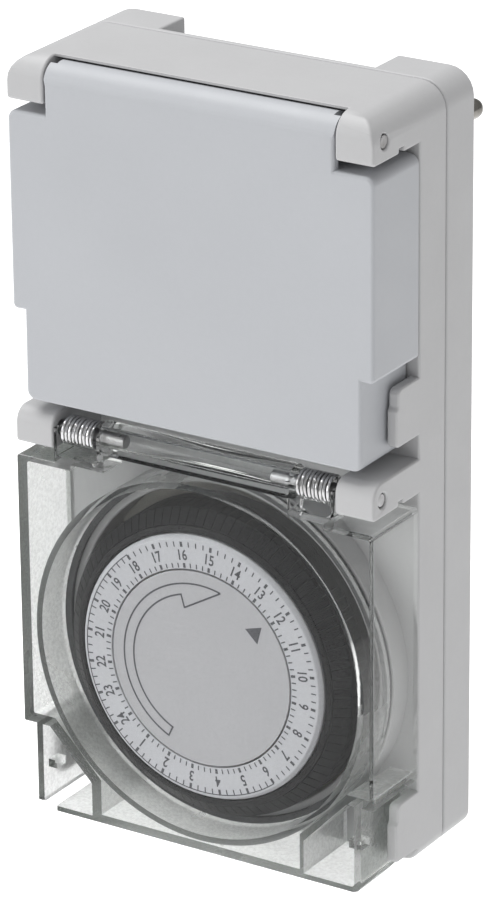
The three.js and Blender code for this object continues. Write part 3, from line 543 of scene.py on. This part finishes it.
def flat(radius, angle):
    """A point of the printed sheet."""
    return Vector((radius * math.cos(angle), radius * math.sin(angle), 0)) * PRINT_SCALE


def print_bar(bm, start, end, width):
    """A printed line between two points of the sheet."""
    side = (end - start).normalized().cross(Vector((0, 0, 1))) * width / 2
    bm.faces.new([bm.verts.new(p) for p in (start - side, end - side, end + side, start + side)])


def print_band(bm, inner, outer, start, end):
    """A printed arc of even width."""
    edge = bm.edges.new([bm.verts.new(flat(r, start)) for r in (inner, outer)])
    steps = max(2, round(abs(end - start) / math.radians(2.5)))
    bmesh.ops.spin(
        bm,
        geom=[edge, *edge.verts],
        cent=(0, 0, 0),
        axis=(0, 0, 1),
        angle=end - start,
        steps=steps,
        use_merge=False,
    )


def print_digits(bm, text, angle):
    """Digits set on the sheet with their tops outwards."""
    curve = bpy.data.curves.new("digits", "FONT")
    curve.body = text
    curve.resolution_u = 3
    curve.offset = DIGITS_BOLD
    holder = bpy.data.objects.new("digits", curve)
    mesh = bpy.data.meshes.new_from_object(holder)
    bpy.data.objects.remove(holder)
    xs = [v.co.x for v in mesh.vertices]
    ys = [v.co.y for v in mesh.vertices]
    scale = DIGITS_HIGH / (max(ys) - min(ys))
    centred = Matrix.Translation((-(min(xs) + max(xs)) / 2, -(min(ys) + max(ys)) / 2, 0))
    turned = Matrix.Rotation(angle - math.pi / 2, 4, "Z")
    sized = Matrix.Diagonal((scale * DIGITS_NARROW, scale, 1, 1))
    mesh.transform(Matrix.Translation(flat(DIGITS_R, angle)) @ turned @ sized @ centred)
    bm.from_mesh(mesh)
    bpy.data.meshes.remove(mesh)


def print_piece(bm, name, body, surface_y):
    """Gives a flat print its thin ink layer and lays it on a face of the dial."""
    bmesh.ops.remove_doubles(bm, verts=bm.verts, dist=1e-4)
    bmesh.ops.recalc_face_normals(bm, faces=bm.faces)
    for face in [f for f in bm.faces if f.normal.z < 0]:
        face.normal_flip()
    top = bmesh.ops.extrude_face_region(bm, geom=bm.faces[:], use_keep_orig=True)["geom"]
    raised = [v for v in top if isinstance(v, bmesh.types.BMVert)]
    bmesh.ops.translate(bm, verts=raised, vec=(0, 0, INK_DEPTH))
    bmesh.ops.recalc_face_normals(bm, faces=bm.faces)
    stand = Matrix.Rotation(math.pi / 2, 4, "X")
    place = Matrix.Translation((DIAL_CENTRE.x, surface_y - INK_SUNK * MM, DIAL_CENTRE.z))
    bm.transform(place @ stand @ Matrix.Scale(MM, 4))
    return to_object(bm, name, ["ink"], body)


def make_ring_print():
    """A tick for each quarter of an hour, the hours, and a line along the night half."""
    bm = bmesh.new()
    for step in range(SEGMENTS):
        angle = SIXTEEN_AT + step * PITCH
        wide = HOUR_TICK if step % (SEGMENTS // HOURS) == 0 else QUARTER_TICK
        for low, high in (OUTER_TICKS, INNER_TICKS):
            print_bar(bm, flat(low, angle), flat(high, angle), wide)
    for hour in range(1, HOURS + 1):
        print_digits(bm, str(hour), hour_angle(hour))
    dusk = 18
    print_band(bm, OUTER_TICKS[1], 25.15, hour_angle(dusk), hour_angle(dusk + HOURS / 2))
    return print_piece(bm, "dial_ring_print", "dial", FACE_Y)


def make_centre_print():
    """An outlined turning arrow and a small filled time marker."""
    bm = bmesh.new()
    outer, inner, barb, line = 16.8, 14.7, 12.1, 0.34
    tail, head, tip = math.radians(244.6), math.radians(105.9), math.radians(74.2)
    print_band(bm, outer - line / 2, outer + line / 2, tip, tail)
    print_band(bm, inner - line / 2, inner + line / 2, head, tail)
    print_bar(bm, flat(inner - line / 2, tail), flat(outer + line / 2, tail), line)
    print_bar(bm, flat(inner + line / 2, head), flat(barb - line / 4, head), line)
    print_bar(bm, flat(barb, head), flat(outer, tip), line)
    marker = ((14.3, 46.5), (17.6, 40.4), (14.7, 32.2))
    bm.faces.new([bm.verts.new(flat(r, math.radians(a))) for r, a in marker])
    face_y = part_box("dial_centre")[0].y
    return print_piece(bm, "dial_centre_print", "housing", face_y)


def spun_ring(name, profile, steps, material, body, nodes=()):
    """A closed profile of radius and depth pairs, turned all the way round the dial's axis."""
    bm = bmesh.new()
    verts = [bm.verts.new(on_dial(r, 0, depth)) for r, depth in profile]
    edges = [bm.edges.new((a, b)) for a, b in zip(verts, verts[1:] + verts[:1])]
    bmesh.ops.spin(
        bm,
        geom=verts + edges,
        cent=DIAL_CENTRE,
        axis=(0, 1, 0),
        angle=math.tau,
        steps=steps,
        use_merge=True,
    )
    bmesh.ops.remove_doubles(bm, verts=bm.verts, dist=1e-6)
    bmesh.ops.recalc_face_normals(bm, faces=bm.faces)
    return to_object(bm, name, [material], body, nodes)


def add_tappet(bm, middle, width, profile):
    """One sliding tappet: its profile swept over its width, with softened edges."""
    part = bmesh.new()
    start = middle - width / 2
    face = part.faces.new([part.verts.new(on_dial(r, start, depth)) for r, depth in profile])
    bmesh.ops.spin(
        part,
        geom=[face, *face.edges, *face.verts],
        cent=DIAL_CENTRE,
        axis=(0, -1, 0),
        angle=width,
        steps=2,
        use_merge=False,
    )
    bmesh.ops.recalc_face_normals(part, faces=part.faces)
    sharp = [e for e in part.edges if e.is_manifold and e.calc_face_angle(0) > 0.9]
    bmesh.ops.bevel(
        part,
        geom=sharp,
        offset=0.06 * MM,
        affect="EDGES",
        segments=1,
        profile=0.5,
        material=-1,
        clamp_overlap=True,
    )
    mesh = bpy.data.meshes.new("tappet_part")
    part.to_mesh(mesh)
    part.free()
    bm.from_mesh(mesh)
    bpy.data.meshes.remove(mesh)


def make_tappets():
    """The ring of tappets, with the loose ones as pieces of their own, and the carrier behind."""
    face, loose_foot, foot = 1.25, 6, 8.5
    inner, outer = RING_R + 1.65, CARRIER_R
    front = [(inner, face), (outer - 0.5, face + 1.75), (outer, face + 2.3)]
    width = PITCH * 0.975
    ring = bmesh.new()
    for index in range(SEGMENTS):
        middle = (index + 0.5) * PITCH
        number = index - FIRST_LOOSE + 1
        if 1 <= number <= LOOSE_TAPPETS:
            loose = bmesh.new()
            add_tappet(loose, middle, width, front + [(outer, loose_foot), (inner, loose_foot)])
            name = f"tappet_{number}"
            to_object(loose, name + "_finished", ["black"], name + "_body", [name])
        else:
            add_tappet(ring, middle, width, front + [(outer, foot), (inner, foot)])
    to_object(ring, "tappet_ring", ["black"], "dial")
    rim = RING_R + 0.3
    carrier = [
        (rim, 0.9),
        (rim + 0.25, 0.75),
        (inner - 0.25, 0.95),
        (inner - 0.08, 1.15),
        (inner - 0.08, foot + 0.2),
        (outer, foot + 0.2),
        (outer, 11.5),
        (outer - 1.4, 11.5),
        (outer - 1.4, 9.8),
        (rim, 9.8),
    ]
    spun_ring("tappet_carrier_finished", carrier, 192, "black", "dial", ["tappet_carrier"])


make_ring_print()
make_centre_print()
make_tappets()

# ---- springs


SPRING_TURNS = 9
STEPS_A_TURN = 20


def coil_spring(name, side, centre_y, centre_z, radius, wire, inner, outer, legs, body):
    """A torsion spring round a hinge pin: close turns with a straight leg at each end."""
    points = []
    start = -math.pi / 2
    steps = SPRING_TURNS * STEPS_A_TURN
    for step in range(steps + 1):
        angle = start + math.tau * step / STEPS_A_TURN
        share = step / steps
        points.append(
            mm(
                side * (inner + (outer - inner) * share),
                centre_y + radius * math.cos(angle),
                centre_z + radius * math.sin(angle),
            )
        )
    head, tail = legs
    points = [p + points[0] for p in (Vector(v) * MM for v in head)] + points
    points = points + [p + points[-1] for p in (Vector(v) * MM for v in tail)]
    curve = bpy.data.curves.new(name, "CURVE")
    curve.dimensions = "3D"
    curve.bevel_depth = wire / 2 * MM
    curve.bevel_resolution = 2
    curve.use_fill_caps = True
    line = curve.splines.new("POLY")
    line.points.add(len(points) - 1)
    for point, place in zip(line.points, points):
        point.co = (*place, 1)
    holder = bpy.data.objects.new(name, curve)
    mesh = bpy.data.meshes.new_from_object(holder)
    bpy.data.objects.remove(holder)
    bm = bmesh.new()
    bm.from_mesh(mesh)
    bpy.data.meshes.remove(mesh)
    bmesh.ops.remove_doubles(bm, verts=bm.verts, dist=1e-7)
    bmesh.ops.recalc_face_normals(bm, faces=bm.faces)
    return to_object(bm, name + "_finished", ["spring"], body, [name])


for side, word in ((-1, "left"), (1, "right")):
    hook = [(side * 0.9, -0.9, -2.6), (side * 0.5, -0.8, -2.9), (0, -0.4, -2.4)]
    cover_legs = (hook, [(0, 0, 0.1), (0, 1.6, 0.2)])
    flap_legs = ([(0, 0.6, -0.1)], [(0, 0.6, 0.1)])
    coil_spring(f"cover_spring_{word}", side, 3.2, 0, 2.55, 0.62, 21.4, 28.4, cover_legs, "cover")
    coil_spring(f"flap_spring_{word}", side, 4, 66, 2.4, 0.6, 19.4, 27.0, flap_legs, "flap")

# ---- finishes of the nodes that stay

STAYING = {
    "housing_seal": "rubber",
    "safety_shutter": "socket",
    "socket_contact_live": "brass",
    "socket_contact_neutral": "brass",
    "earth_clip_top": "strip",
    "earth_clip_bottom": "strip",
    "busbar_earth": "brass",
    "busbar_neutral": "brass",
    "busbar_live": "brass",
    "flap_seal": "rubber",
    "dial_seal": "rubber",
    "dial_hub": "nylon",
    "dial_gear": "nylon",
    "dial_spindle": "steel",
    "idler_gear": "nylon",
    "motor_pinion": "brass",
    "motor": "can",
    "movement_plate": "nylon",
    "switch_lever": "nylon",
    "switch_plunger": "nylon",
    "microswitch": "switch_case",
}
for node, material in STAYING.items():
    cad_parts[node].material_slots[0].material = finish[material]

# ---------------------------------------------------------------- room

FLOOR_Z = -0.2
FLOOR_GLOW = 0.45
SKY_STRENGTH = 0.38
LAMPS_AIM = (0, 0, -0.05)


def make_floor():
    bm = bmesh.new()
    bmesh.ops.create_grid(bm, x_segments=4, y_segments=4, size=3.0)
    bmesh.ops.translate(bm, verts=bm.verts, vec=(0, 0, FLOOR_Z))
    mesh = bpy.data.meshes.new("floor")
    bm.to_mesh(mesh)
    bm.free()
    material, tree, shader = start_material("floor_white", Roughness=0.9)
    where = object_place(tree)
    tone = blend_colour(tree, noise(tree, where, 6.0), (0.92, 0.92, 0.92, 1), (0.95, 0.95, 0.95, 1))
    link(tree, tone, shader.inputs["Base Color"])
    shader.inputs["Emission Color"].default_value = (1, 1, 1, 1)
    shader.inputs["Emission Strength"].default_value = FLOOR_GLOW
    mesh.materials.append(material)
    floor = bpy.data.objects.new("floor", mesh)
    scene.collection.objects.link(floor)


def make_lamp(name, place, size, power, colour=(1, 1, 1)):
    data = bpy.data.lights.new(name, "AREA")
    data.shape = "SQUARE"
    data.size = size
    data.energy = power
    data.color = colour
    lamp = bpy.data.objects.new(name, data)
    lamp.location = place
    towards = Vector(LAMPS_AIM) - Vector(place)
    lamp.rotation_euler = towards.to_track_quat("-Z", "Y").to_euler()
    scene.collection.objects.link(lamp)


def make_sky():
    world = bpy.data.worlds.new("studio")
    world.use_nodes = True
    sky = world.node_tree.nodes["Background"]
    sky.inputs["Color"].default_value = (1.0, 1.0, 1.0, 1)
    sky.inputs["Strength"].default_value = SKY_STRENGTH
    scene.world = world


make_floor()
make_lamp("top_softbox", (-0.35, -0.1, 1.3), 1.1, 18.5)
make_lamp("front_left_softbox", (-1.2, -1.4, 0.5), 1.0, 8.2, (0.98, 0.99, 1.0))
make_sky()
scene.view_settings.view_transform = "Standard"
